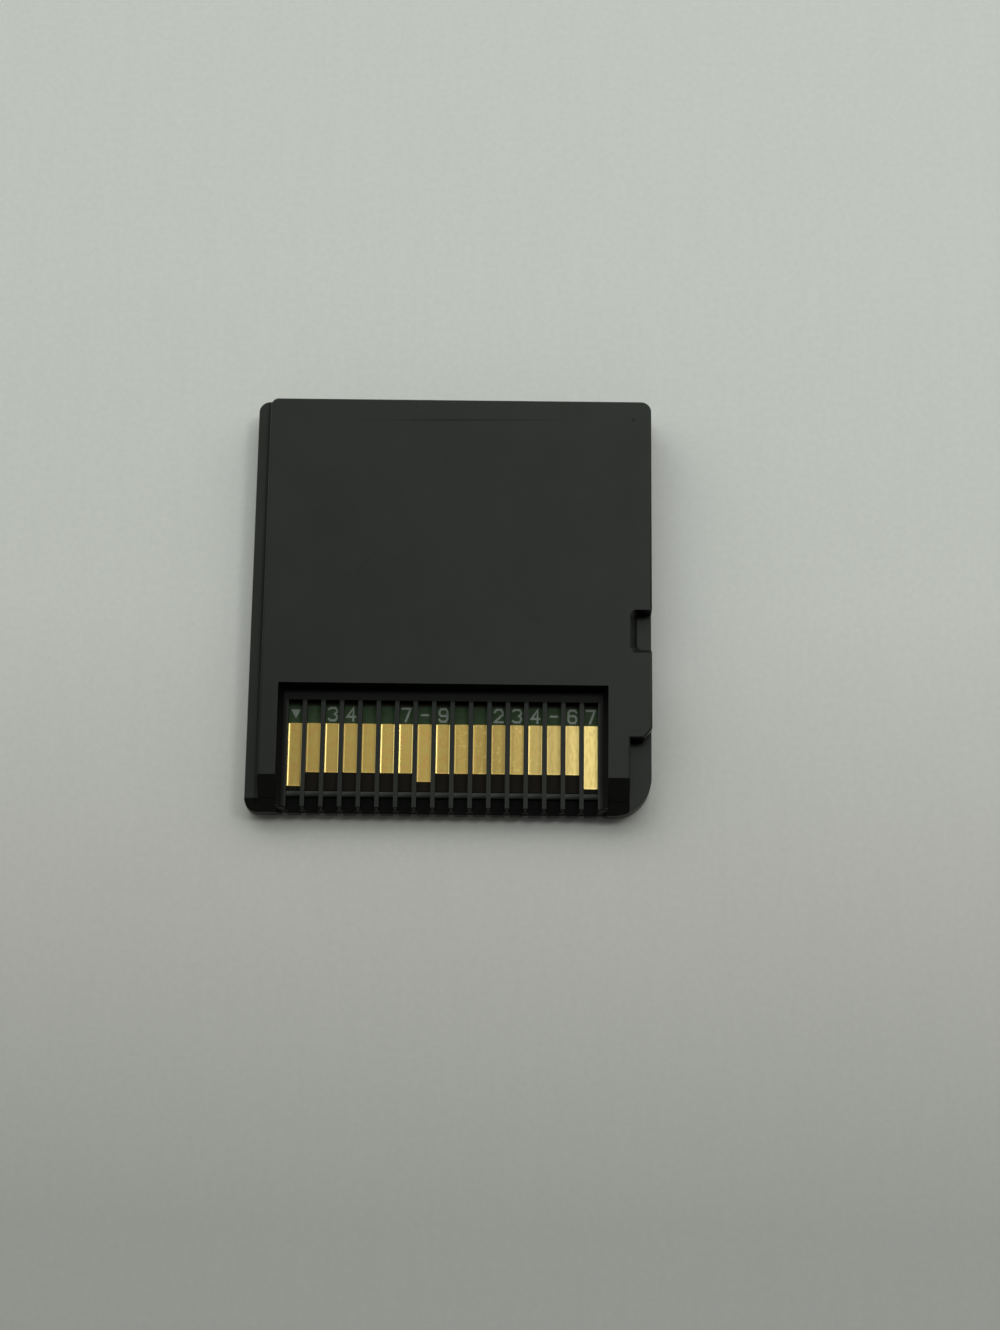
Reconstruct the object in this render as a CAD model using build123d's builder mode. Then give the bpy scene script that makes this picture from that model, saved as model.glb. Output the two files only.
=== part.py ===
"""Game cartridge: two moulded shells around a circuit board with a ribbed contact window.

Millimetres. The card lies with its contacts up: +X to the right, +Y away from the contact edge,
+Z up. The origin is under the middle of the card, on the surface that it lies on.
"""
import os
from math import radians, tan

from build123d import *

os.makedirs("parts", exist_ok=True)

# Contact row: gold-plated pads side by side on the board
contact_count = 17
contact_pitch = 1.5
contact_width = 1.1
contact_thickness = 0.05
contact_length = 4.1
end_contact_length = 5.25
middle_contact_length = 4.8
middle_contact_number = 8
contact_margin = 0.35  # from the board's near edge to the longest contacts

# Ribs between the contacts, and what frames them
rib_width = 0.36
rib_height = 0.6
end_shelf = 0.6  # from the outermost rib's middle line to the side wall of the window
mask_strip = 1.83  # from the contacts' far ends to the far ends of the slots
ledge_width = 1.05  # sunk step between the slots and the window's far wall
window_wall = 1.0  # between the window and the chip cavity
bar_width = 0.45
bar_rise = 0.2  # the cross bar's top over the board
foot_bevel_run = 0.36  # slope along the foot of the window's side walls
foot_bevel_rise = 0.5

# Width of the card, from left to right: rail, left leg, window, right leg, right rail
left_rail = 1.1
left_leg = 1.45
right_leg = 1.75
right_rail = 1.8

# Length of the card, from the contact edge: near wall, cross bar, board, far rim
near_wall = 1.2
board_length = 31.4
far_rim = 1.72
far_setback = 0.2  # the back shell stops this short of the front shell

# Thickness of the card, from below: floor, board, chip, air, cover
floor_wall = 0.9
board_thickness = 0.8
chip_height = 1.0
chip_clearance = 0.3
cover_wall = 0.8

# Fits
board_clearance = 0.1  # around the board in its tray
board_overhang = 0.5  # the board runs this far under each leg
frame_clearance = 0.05  # the back shell's frame inside the tray
bar_clearance = 0.03  # the cross bar behind the near wall
seat_clearance = 0.02  # ribs and frame over the board, noses over the ramp
hold_width = 0.8  # the frame's far strip, which holds the board down

# Lead-in at the contact edge
bevel_run = 2.62  # how far the bevel of the legs reaches on the top face
bevel_angle = 42.0
ramp_angle = 20.5  # floor of the slots ahead of the board
ramp_step = 0.1  # the ramp's high end under the board's face
nose_point = 0.12  # chamfers that point the ribs' noses
nose_drop = 0.1  # chamfer at the top of the noses
flute_width = 0.5  # grooves in the end face, one ahead of each rib
flute_depth = 0.25

# Latch notch and corner cut on the right side
notch_near = 13.05  # from the contact edge
notch_length = 3.65
notch_slope = 0.65  # run of the two sloped walls
notch_corner = 0.5
cut_length = 5.95
cut_flat = 1.15
cut_slant = 0.85

# Rounded corners and edges
far_corner = 0.9
near_left_corner = 0.9
near_right_corner = 3.0
cover_left_corner = 0.65
cover_right_corner = 0.85
under_round = 0.5
top_round = 0.15

# Shallow bare recess for a label on the underside
label_depth = 0.15
label_side = 1.4
label_near = 6.0
label_far = 2.6
label_corner = 1.2

# Half-round keys of the tray that fit notches in the board's two sides
key_radius = 0.8
key_reach = 16.0  # from the board's near edge

# Chips: bodies, and gull-wing leads that stand on the board
chip_standoff = 0.1
chip_edge = 0.12
dimple_radius = 0.4
dimple_depth = 0.06
dimple_inset = 1.1
lead_thickness = 0.13
lead_rise = 0.5
lead_shoulder = 0.35
lead_foot = 0.5
rom_width = 12.0
rom_length = 10.0
rom_lead_count = 14
rom_lead_pitch = 0.65
rom_lead_width = 0.25
rom_shift_x = -4.2  # from the middle of the cavity
rom_shift_y = 1.5
save_width = 4.4
save_length = 3.2
save_lead_count = 4
save_lead_pitch = 0.7
save_lead_width = 0.3
save_shift_x = 8.0
save_shift_y = 4.0

# Small parts beside the chips
capacitor_width = 0.85
capacitor_length = 1.6
capacitor_height = 0.8
capacitor_shifts = [(6.5, -2.5), (9.5, -2.5)]  # from the middle of the cavity
resistor_width = 0.8
resistor_length = 1.6
resistor_height = 0.45
resistor_shift = (8.0, -5.0)
small_part_round = 0.08

# Levels
board_top = floor_wall + board_thickness
seam_level = board_top + rib_height
ceiling = board_top + chip_height + chip_clearance
card_thickness = ceiling + cover_wall
hold_level = board_top + seat_clearance
bar_top = board_top + bar_rise
bar_base = floor_wall + seat_clearance
ramp_top = board_top - ramp_step
ramp_foot = ramp_top - near_wall * tan(radians(ramp_angle))
bevel_foot = card_thickness - bevel_run * tan(radians(bevel_angle))

# Places across the card
window_width = contact_count * contact_pitch + 2 * end_shelf
card_width = left_rail + left_leg + window_width + right_leg + right_rail
right_x = card_width / 2
left_x = -right_x
cover_left = left_x + left_rail
window_left = cover_left + left_leg
window_right = window_left + window_width
rail_x = window_right + right_leg
row_x = (window_left + window_right) / 2
board_width = window_width + 2 * board_overhang
pocket_width = board_width + 2 * board_clearance
frame_width = pocket_width - 2 * frame_clearance
contact_centres = [
    row_x + (place - (contact_count - 1) / 2) * contact_pitch for place in range(contact_count)
]
rib_centres = [row_x + (place - contact_count / 2) * contact_pitch for place in range(contact_count + 1)]

# Places along the card
bar_near_reach = near_wall + bar_clearance
board_reach = bar_near_reach + bar_width + board_clearance
pocket_length = bar_clearance + bar_width + 2 * board_clearance + board_length
card_length = near_wall + pocket_length + far_rim
near_y = -card_length / 2
far_y = card_length / 2
wall_y = near_y + near_wall
bar_near = near_y + bar_near_reach
board_near = near_y + board_reach
board_y = board_near + board_length / 2
pocket_y = wall_y + pocket_length / 2
contact_far = board_near + contact_margin + end_contact_length
slot_far = contact_far + mask_strip
window_far = slot_far + ledge_width
cavity_near = window_far + window_wall
frame_far = far_y - far_rim - frame_clearance
cavity_far = frame_far - hold_width
cavity_y = (cavity_near + cavity_far) / 2
nose_y = near_y + flute_depth
nose_level = ramp_foot + flute_depth * tan(radians(ramp_angle)) + seat_clearance
key_y = board_near + key_reach
notch_y = near_y + notch_near
key_xs = [row_x - pocket_width / 2, row_x + pocket_width / 2]

# Wedge that the lead-in bevel takes off both shells, from the left side to the right rail
with BuildPart(mode=Mode.PRIVATE) as bevel_wedge:
    with BuildSketch(Plane.YZ.offset(left_x)):
        with BuildLine():
            Polyline(
                (near_y, bevel_foot),
                (near_y + bevel_run, card_thickness),
                (near_y, card_thickness),
                close=True,
            )
        make_face()
    extrude(amount=rail_x - left_x)

# Latch notch: upright far wall, sloped left and near walls, rounded inner corners
with BuildPart(mode=Mode.PRIVATE) as notch_cutter:
    with BuildSketch(Plane.XZ.offset(-notch_y)):
        with BuildLine():
            Polyline(
                (rail_x, card_thickness),
                (rail_x + notch_slope, seam_level),
                (right_x + notch_slope, seam_level),
                (right_x + notch_slope, card_thickness),
                close=True,
            )
        make_face()
    extrude(amount=-notch_length)
    with BuildSketch(Plane.YZ.offset(rail_x)):
        with BuildLine():
            Polyline(
                (notch_y, card_thickness),
                (notch_y + notch_slope, seam_level),
                (notch_y + notch_length, seam_level),
                (notch_y + notch_length, card_thickness),
                close=True,
            )
        make_face()
    extrude(amount=right_rail + notch_slope, mode=Mode.INTERSECT)
    upright_edges = notch_cutter.edges().filter_by(lambda edge: edge.bounding_box().size.Z > notch_corner)
    fillet(upright_edges.sort_by(Axis.X)[:2], radius=notch_corner)

# Front shell: a tray with the board's pocket, the lead-in ramp and the bare label recess below
with BuildPart() as front_shell:
    with BuildSketch() as tray_outline:
        Rectangle(card_width, card_length)
        fillet(tray_outline.vertices().group_by(Axis.Y)[-1], radius=far_corner)
        fillet(tray_outline.vertices().group_by(Axis.Y)[0].sort_by(Axis.X)[0], radius=near_left_corner)
        fillet(tray_outline.vertices().group_by(Axis.Y)[0].sort_by(Axis.X)[-1], radius=near_right_corner)
    extrude(amount=seam_level)
    fillet(front_shell.edges().group_by(Axis.Z)[0], radius=under_round)
    # Pocket for the board, with a half-round key at each side
    with BuildSketch(Plane.XY.offset(floor_wall)):
        with Locations((row_x, pocket_y)):
            Rectangle(pocket_width, pocket_length)
    extrude(amount=rib_height + board_thickness, mode=Mode.SUBTRACT)
    with BuildSketch(Plane.XY.offset(floor_wall)):
        with Locations(*[(key_x, key_y) for key_x in key_xs]):
            Circle(key_radius)
    extrude(amount=board_thickness)
    # Ramp that leads the console's springs up to the board, between the legs
    with BuildSketch(Plane.YZ.offset(window_left)):
        with BuildLine():
            Polyline(
                (near_y, ramp_foot),
                (wall_y, ramp_top),
                (wall_y, seam_level),
                (near_y, seam_level),
                close=True,
            )
        make_face()
    extrude(amount=window_width, mode=Mode.SUBTRACT)
    add(bevel_wedge.part, mode=Mode.SUBTRACT)
    # Grooves down the end face, one ahead of each rib
    with BuildSketch():
        with Locations(*[(rib_x, near_y + flute_depth / 2) for rib_x in rib_centres]):
            Rectangle(flute_width, flute_depth)
    extrude(amount=ramp_top, mode=Mode.SUBTRACT)
    # Label recess
    with BuildSketch():
        with Locations((0, (label_near - label_far) / 2)):
            RectangleRounded(card_width - 2 * label_side, card_length - label_near - label_far, label_corner)
    extrude(amount=label_depth, mode=Mode.SUBTRACT)
front_shell.part.label = "front_shell"
export_step(front_shell.part, "parts/front_shell.step")

# Back shell: the cover with the contact grille, the latch notch and the corner cut
with BuildPart() as back_shell:
    with BuildSketch(Plane.XY.offset(seam_level)) as cover_outline:
        with BuildLine():
            Polyline(
                (cover_left, near_y),
                (rail_x, near_y),
                (rail_x, near_y + cut_length),
                (rail_x + cut_flat, near_y + cut_length),
                (right_x, near_y + cut_length + cut_slant),
                (right_x, far_y - far_setback),
                (cover_left, far_y - far_setback),
                close=True,
            )
        make_face()
        fillet(cover_outline.vertices().group_by(Axis.Y)[-1].sort_by(Axis.X)[0], radius=cover_left_corner)
        fillet(cover_outline.vertices().group_by(Axis.Y)[-1].sort_by(Axis.X)[-1], radius=cover_right_corner)
    extrude(amount=card_thickness - seam_level)
    fillet(back_shell.edges().group_by(Axis.Z)[-1], radius=top_round)
    add(notch_cutter.part, mode=Mode.SUBTRACT)
    # Contact window, open at the contact edge
    with BuildSketch(Plane.XY.offset(seam_level)):
        with Locations((row_x, (near_y + window_far) / 2)):
            Rectangle(window_width, window_far - near_y)
    extrude(amount=card_thickness - seam_level, mode=Mode.SUBTRACT)
    # Lead-in bevel of the legs
    add(bevel_wedge.part, mode=Mode.SUBTRACT)
    # Cavity over the chips
    with BuildSketch(Plane.XY.offset(seam_level)):
        with Locations((row_x, cavity_y)):
            Rectangle(window_width, cavity_far - cavity_near)
    extrude(amount=ceiling - seam_level, mode=Mode.SUBTRACT)
    # Frame that fits the tray and holds the board down, with the ledge at the far end of the slots
    with BuildSketch(Plane.XY.offset(hold_level)):
        with Locations((row_x, (bar_near + frame_far) / 2)):
            Rectangle(frame_width, frame_far - bar_near)
        with Locations((row_x, (bar_near + cavity_far) / 2)):
            Rectangle(window_width, cavity_far - bar_near, mode=Mode.SUBTRACT)
        with Locations((row_x, (slot_far + cavity_near) / 2)):
            Rectangle(window_width, cavity_near - slot_far)
    extrude(amount=seam_level - hold_level)
    # Cross bar ahead of the board's edge
    with BuildSketch(Plane.XY.offset(bar_base)):
        with Locations((row_x, bar_near + bar_width / 2)):
            Rectangle(frame_width, bar_width)
    extrude(amount=bar_top - bar_base)
    # Ribs from the ledge over the bar, with pointed noses over the ramp; the outer two reach the walls
    rib_spans = [(rib_x - rib_width / 2, rib_width) for rib_x in rib_centres[1:-1]]
    rib_spans.append((window_left, end_shelf + rib_width / 2))
    rib_spans.append((window_right - end_shelf - rib_width / 2, end_shelf + rib_width / 2))
    for rib_left, width in rib_spans:
        with BuildSketch(Plane.YZ.offset(rib_left)):
            with BuildLine():
                Polyline(
                    (slot_far, hold_level),
                    (slot_far, seam_level),
                    (nose_y + nose_drop, seam_level),
                    (nose_y, seam_level - nose_drop),
                    (nose_y, nose_level),
                    (wall_y, ramp_top + seat_clearance),
                    (bar_near, ramp_top + seat_clearance),
                    (bar_near, hold_level),
                    close=True,
                )
            make_face()
        extrude(amount=width)
    chamfer(back_shell.edges().filter_by(Axis.Z).group_by(Axis.Y)[0], length=nose_point)
    # Slopes along the feet of the window's side walls
    with BuildSketch(Plane.XZ.offset(-window_far)):
        for wall_x, run in [(window_left, foot_bevel_run), (window_right, -foot_bevel_run)]:
            with BuildLine():
                Polyline(
                    (wall_x, seam_level),
                    (wall_x + run, seam_level),
                    (wall_x, seam_level + foot_bevel_rise),
                    close=True,
                )
            make_face()
    extrude(amount=window_far - nose_y - nose_drop)
back_shell.part.label = "back_shell"
export_step(back_shell.part, "parts/back_shell.step")

# Circuit board: lies on the tray's floor, notched at both sides for the keys
with BuildPart() as circuit_board:
    with BuildSketch(Plane.XY.offset(floor_wall)):
        with Locations((row_x, board_y)):
            Rectangle(board_width, board_length)
        with Locations(*[(key_x, key_y) for key_x in key_xs]):
            Circle(key_radius + board_clearance, mode=Mode.SUBTRACT)
    extrude(amount=board_thickness)
circuit_board.part.label = "circuit_board"
export_step(circuit_board.part, "parts/circuit_board.step")

# Contacts: level at their far ends, the outer two and one other longer than the rest
contact_lengths = [contact_length] * contact_count
contact_lengths[0] = end_contact_length
contact_lengths[-1] = end_contact_length
contact_lengths[middle_contact_number - 1] = middle_contact_length
for number, (contact_x, length) in enumerate(zip(contact_centres, contact_lengths), start=1):
    node = f"contact_{number:02d}"
    with BuildPart() as contact:
        with BuildSketch(Plane.XY.offset(board_top)):
            with Locations((contact_x, contact_far - length / 2)):
                Rectangle(contact_width, length)
        extrude(amount=contact_thickness)
    contact.part.label = node
    export_step(contact.part, f"parts/{node}.step")

# Chips: moulded bodies with a pin-one dimple, and rows of leads along both sides
rom_lead_row = (rom_lead_count, rom_lead_pitch, rom_lead_width)
save_lead_row = (save_lead_count, save_lead_pitch, save_lead_width)
chips = [
    ("rom_chip", rom_width, rom_length, rom_shift_x, rom_shift_y, rom_lead_row),
    ("save_chip", save_width, save_length, save_shift_x, save_shift_y, save_lead_row),
]
for node, width, length, shift_x, shift_y, (lead_count, lead_pitch, lead_width) in chips:
    chip_x = row_x + shift_x
    chip_y = cavity_y + shift_y
    with BuildPart() as chip:
        with BuildSketch(Plane.XY.offset(board_top + chip_standoff)):
            with Locations((chip_x, chip_y)):
                Rectangle(width, length)
        extrude(amount=chip_height - chip_standoff)
        chamfer(chip.edges().group_by(Axis.Z)[-1], length=chip_edge)
        with BuildSketch(Plane.XY.offset(board_top + chip_height)):
            with Locations((chip_x - width / 2 + dimple_inset, chip_y - length / 2 + dimple_inset)):
                Circle(dimple_radius)
        extrude(amount=-dimple_depth, mode=Mode.SUBTRACT)
    chip.part.label = node
    export_step(chip.part, f"parts/{node}.step")

    # One lead steps out of the body's right side and down to a foot on the board
    side_x = chip_x + width / 2
    with BuildPart() as leads:
        for place in range(lead_count):
            lead_y = chip_y + (place - (lead_count - 1) / 2) * lead_pitch
            with BuildSketch(Plane.XZ.offset(-lead_y - lead_width / 2)):
                with BuildLine():
                    Polyline(
                        (side_x, board_top + lead_rise + lead_thickness),
                        (side_x + lead_shoulder, board_top + lead_rise + lead_thickness),
                        (side_x + lead_shoulder, board_top + lead_thickness),
                        (side_x + lead_shoulder + lead_foot, board_top + lead_thickness),
                        (side_x + lead_shoulder + lead_foot, board_top),
                        (side_x + lead_shoulder - lead_thickness, board_top),
                        (side_x + lead_shoulder - lead_thickness, board_top + lead_rise),
                        (side_x, board_top + lead_rise),
                        close=True,
                    )
                make_face()
            extrude(amount=lead_width)
        mirror(about=Plane.YZ.offset(chip_x))
    leads.part.label = f"{node}_leads"
    export_step(leads.part, f"parts/{node}_leads.step")

# Small parts soldered beside the chips
small_parts = [
    ("capacitor_1", capacitor_width, capacitor_length, capacitor_height, capacitor_shifts[0]),
    ("capacitor_2", capacitor_width, capacitor_length, capacitor_height, capacitor_shifts[1]),
    ("resistor_1", resistor_width, resistor_length, resistor_height, resistor_shift),
]
for node, width, length, height, (shift_x, shift_y) in small_parts:
    with BuildPart() as small_part:
        with BuildSketch(Plane.XY.offset(board_top)):
            with Locations((row_x + shift_x, cavity_y + shift_y)):
                Rectangle(width, length)
        extrude(amount=height)
        fillet(small_part.edges(), radius=small_part_round)
    small_part.part.label = node
    export_step(small_part.part, f"parts/{node}.step")
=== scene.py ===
"""Game cartridge lying contacts up on a pale table, seen from above and a little from the contact edge.

Metres, in the card's own frame: +X towards the latch notch, +Y away from the contact edge, +Z up.
"""
import logging
import math
from dataclasses import dataclass
from enum import Enum
from typing import Any, Sequence

import bmesh
import bpy
import numpy as np
from bpy.types import Material, Node, NodeSocket, NodeTree, Object
from mathutils import Euler, Matrix, Vector


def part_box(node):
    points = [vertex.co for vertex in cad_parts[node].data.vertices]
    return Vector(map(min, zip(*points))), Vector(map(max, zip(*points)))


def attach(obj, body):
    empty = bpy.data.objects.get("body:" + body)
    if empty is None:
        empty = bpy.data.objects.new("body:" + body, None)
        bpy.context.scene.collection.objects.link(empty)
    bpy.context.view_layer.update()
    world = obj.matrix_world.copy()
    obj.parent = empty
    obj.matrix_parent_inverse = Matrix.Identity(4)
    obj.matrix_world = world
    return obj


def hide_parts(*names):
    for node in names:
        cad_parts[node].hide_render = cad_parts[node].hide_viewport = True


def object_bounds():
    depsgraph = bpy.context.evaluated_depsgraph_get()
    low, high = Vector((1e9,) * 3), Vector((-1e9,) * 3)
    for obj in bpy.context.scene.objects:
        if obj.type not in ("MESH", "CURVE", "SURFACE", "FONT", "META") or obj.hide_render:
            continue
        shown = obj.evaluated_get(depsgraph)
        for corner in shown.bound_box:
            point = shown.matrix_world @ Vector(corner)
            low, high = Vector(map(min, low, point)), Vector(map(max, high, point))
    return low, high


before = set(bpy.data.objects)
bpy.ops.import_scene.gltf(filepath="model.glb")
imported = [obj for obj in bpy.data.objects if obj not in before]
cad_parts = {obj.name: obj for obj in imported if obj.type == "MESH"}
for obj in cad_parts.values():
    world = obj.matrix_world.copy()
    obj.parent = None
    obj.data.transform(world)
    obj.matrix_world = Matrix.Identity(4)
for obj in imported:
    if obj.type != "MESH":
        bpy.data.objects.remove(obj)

MM = 0.001
CAD_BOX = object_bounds()
CARD_BODY = "root"
CONTACT_COUNT = 17
COVER_TOP = CAD_BOX[1][2]
SEAM_LEVEL = 2.3 * MM  # top of the tray: the rails and the window's ledges lie here
RIM = "rim"  # attribute of the pads: how high each point stands on a side rim
log = logging.getLogger("cartridge")


class Slot(Enum):
    """Names of material slots; nothing in this script uses them."""

    SHELL = "shell_plastic"
    BOARD = "board_laminate"
    GOLD = "gold_plating"


def linear(colour: str) -> tuple[float, float, float, float]:
    """Turns an sRGB hex colour to linear light.

    Args:
        colour: six hex digits after a hash sign.

    Returns:
        Red, green, blue and full alpha.
    """
    channels = [int(colour[place:place + 2], 16) / 255 for place in (1, 3, 5)]
    light = [c / 12.92 if c <= 0.04045 else ((c + 0.055) / 1.055) ** 2.4 for c in channels]
    return (*light, 1.0)


def per_metre(size_mm: float) -> float:
    """Texture scale at which one unit of pattern is as long as the given size in millimetres."""
    return 1.0 / (size_mm * MM)


def add_node(tree: NodeTree, kind: str, settings: dict[str, Any] | None = None,
             links: dict[str | int, Any] | None = None,
             stops: Sequence[tuple[float, Sequence[float]]] = ()) -> Node:
    """Adds a node, sets its values and feeds its inputs.

    Args:
        tree: node tree that gets the node.
        kind: node type, without its ShaderNode prefix.
        settings: properties of the node by name.
        links: input name or number to an output socket, or to a plain value.
        stops: position and linear colour of each stop of a ramp, in rising order.

    Returns:
        The new node.
    """
    node = tree.nodes.new("ShaderNode" + kind)
    for name, value in (settings or {}).items():
        setattr(node, name, value)
    for name, source in (links or {}).items():
        if isinstance(source, NodeSocket):
            tree.links.new(source, node.inputs[name])
        else:
            node.inputs[name].default_value = source
    if stops:
        while len(node.color_ramp.elements) < len(stops):
            node.color_ramp.elements.new(0.5)
        for element, (position, colour) in zip(node.color_ramp.elements, stops):
            element.position = position
            element.color = colour
    return node


def start_material(name: str) -> tuple[Material, NodeTree, Node, NodeSocket]:
    """Starts a material on a principled shader.

    Args:
        name: the material's name.

    Returns:
        The material, its tree, its shader and its object coordinates.
    """
    material = bpy.data.materials.new(name)
    material.use_nodes = True
    tree = material.node_tree
    shader = tree.nodes["Principled BSDF"]
    coords = add_node(tree, "TexCoord").outputs["Object"]
    return material, tree, shader, coords


@dataclass(frozen=True)
class Mark:
    """A dim mark on a moulding's upper face: its middle, half its length and width, and its turn.

    It fades from its middle to nothing at the edge of an ellipsoid.
    """

    middle: tuple[float, float, float]
    half_length: float
    half_width: float
    turn: float = 0.0
    depth: float = 0.5 * MM
    dim: float = 0.45

    def dulling_and_shade(self, tree: NodeTree, coords: NodeSocket) -> NodeSocket:
        """How far the mark cuts the sheen.

        Args:
            tree: node tree of the plastic.
            coords: its object coordinates.

        Returns:
            A factor: one outside the mark, the dim share in its middle.
        """
        inside = add_node(tree, "Mapping", {"vector_type": "TEXTURE"}, {
            "Vector": coords, "Location": self.middle, "Rotation": (0.0, 0.0, self.turn),
            "Scale": (self.half_length, self.half_width, self.depth)})
        spot = add_node(tree, "TexGradient", {"gradient_type": "SPHERICAL"}, {
            "Vector": inside.outputs["Vector"]})
        return add_node(tree, "MapRange", links={
            "Value": spot.outputs["Fac"], "To Min": 1.0, "To Max": self.dim}).outputs["Result"]


@dataclass(frozen=True)
class RecessShade:
    """Painted shade on the window's sunken floor: its sheen is dimmed close under the walls.

    Its far ledge starts at one line across the card. Its end shelves lie on both sides of a middle
    line, each from the given distance on.
    """

    level: float
    ledge_y: float
    middle_x: float
    shelf_x: float
    level_reach: float = 0.06 * MM
    fade: float = 0.3 * MM
    dim: float = 0.42

    def dulling_and_shade(self, tree: NodeTree, coords: NodeSocket) -> NodeSocket:
        """How far the painted shade on the floor cuts the sheen.

        Args:
            tree: node tree of the plastic.
            coords: its object coordinates.

        Returns:
            A factor: one elsewhere, the dim share on the far ledge and the end shelves.
        """
        axes = add_node(tree, "SeparateXYZ", links={"Vector": coords})
        ledge = add_node(tree, "MapRange", {"interpolation_type": "SMOOTHSTEP"}, {
            "Value": axes.outputs["Y"], "From Min": self.ledge_y - self.fade, "From Max": self.ledge_y})
        aside = add_node(tree, "Math", {"operation": "SUBTRACT"}, {0: axes.outputs["X"], 1: self.middle_x})
        away = add_node(tree, "Math", {"operation": "ABSOLUTE"}, {0: aside.outputs[0]})
        shelf = add_node(tree, "MapRange", {"interpolation_type": "SMOOTHSTEP"}, {
            "Value": away.outputs[0], "From Min": self.shelf_x, "From Max": self.shelf_x + self.fade})
        either = add_node(tree, "Math", {"operation": "MAXIMUM"}, {
            0: ledge.outputs["Result"], 1: shelf.outputs["Result"]})
        sunken = add_node(tree, "Math", {"operation": "COMPARE"}, {
            0: axes.outputs["Z"], 1: self.level, 2: self.level_reach})
        share = add_node(tree, "Math", {"operation": "MULTIPLY"}, {
            0: either.outputs[0], 1: sunken.outputs[0]})
        return add_node(tree, "MapRange", links={
            "Value": share.outputs[0], "To Min": 1.0, "To Max": self.dim}).outputs["Result"]


# What the mould and handling left on the cover (a hair line, a gate mark, two scratches), and painted shade
# on the window's sunken floor
COVER_FLAWS_AND_SHADE = (
    Mark((0.7 * MM, 15.5 * MM, COVER_TOP), 11.6 * MM, 0.09 * MM, 0.012),
    Mark((14.9 * MM, 15.7 * MM, COVER_TOP), 0.24 * MM, 0.24 * MM),
    Mark((-7.0 * MM, 3.0 * MM, COVER_TOP), 3.5 * MM, 0.03 * MM, 0.9),
    Mark((6.5 * MM, -1.5 * MM, COVER_TOP), 2.6 * MM, 0.03 * MM, -0.6),
    # Painted shade: the window's far ledge and end shelves have their sheen dimmed
    RecessShade(level=SEAM_LEVEL, ledge_y=-8.25 * MM, middle_x=-0.5 * MM, shelf_x=12.6 * MM),
)

# Painted shade: a dim line along the foot of the step on the tray's left rail, where the step shades it; it
# runs past both ends
TRAY_PAINTED_SHADE = (Mark((-15.50 * MM, 0.0, SEAM_LEVEL), 60.0 * MM, 0.26 * MM, math.pi / 2),)


@dataclass(frozen=True)
class MouldedPlastic:
    """ABS moulded in a satin tool: near-black, with a broad soft sheen.

    The colour itself is almost black; what the eye reads as charcoal is the sheen of the light
    beyond the card, which fades close under every wall. Faint clouding breaks the sheen up. The
    tool's grain is too fine to show, so it is drawn as coarse as it has to be.
    """

    name: str = "abs_moulded_satin_black"
    colour: str = "#050505"
    sheen_tint: str = "#f6fff4"
    ior: float = 1.5
    roughness: float = 0.40
    roughness_spread: float = 0.02
    shine: float = 0.33
    shine_spread: float = 0.025
    cloud_mm: float = 5.0
    cloud_detail: float = 5.0
    cloud_fineness: float = 0.65
    cloud_span: tuple[float, float] = (0.3, 0.7)
    grain_mm: float = 0.14
    grain_detail: float = 2.0
    grain_strength: float = 0.10
    grain_depth: float = 0.004 * MM
    flaws_and_shade: tuple[Mark | RecessShade, ...] = ()

    def material(self) -> Material:
        """Builds the plastic's material.

        Returns:
            The material.
        """
        material, tree, shader, coords = start_material(self.name)
        shader.inputs["Base Color"].default_value = linear(self.colour)
        shader.inputs["IOR"].default_value = self.ior
        shader.inputs["Specular Tint"].default_value = linear(self.sheen_tint)
        clouds = add_node(tree, "TexNoise", links={
            "Vector": coords, "Scale": per_metre(self.cloud_mm), "Detail": self.cloud_detail,
            "Roughness": self.cloud_fineness}).outputs["Fac"]
        thin, thick = self.cloud_span
        roughness = add_node(tree, "MapRange", links={
            "Value": clouds, "From Min": thin, "From Max": thick,
            "To Min": self.roughness - self.roughness_spread,
            "To Max": self.roughness + self.roughness_spread})
        tree.links.new(roughness.outputs["Result"], shader.inputs["Roughness"])
        shine = add_node(tree, "MapRange", links={
            "Value": clouds, "From Min": thin, "From Max": thick,
            "To Min": self.shine - self.shine_spread,
            "To Max": self.shine + self.shine_spread}).outputs["Result"]
        # Marks and painted shade dim the sheen where they lie
        for sheen_dimmer in self.flaws_and_shade:
            shine = add_node(tree, "Math", {"operation": "MULTIPLY"}, {
                0: shine, 1: sheen_dimmer.dulling_and_shade(tree, coords)}).outputs[0]
        shader.inputs["Specular IOR Level"].default_value = self.shine
        tree.links.new(shine, shader.inputs["Specular IOR Level"])
        grain = add_node(tree, "TexNoise", links={
            "Vector": coords, "Scale": per_metre(self.grain_mm), "Detail": self.grain_detail})
        bump = add_node(tree, "Bump", links={
            "Height": grain.outputs["Fac"], "Strength": self.grain_strength, "Distance": self.grain_depth})
        tree.links.new(bump.outputs["Normal"], shader.inputs["Normal"])
        return material


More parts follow.
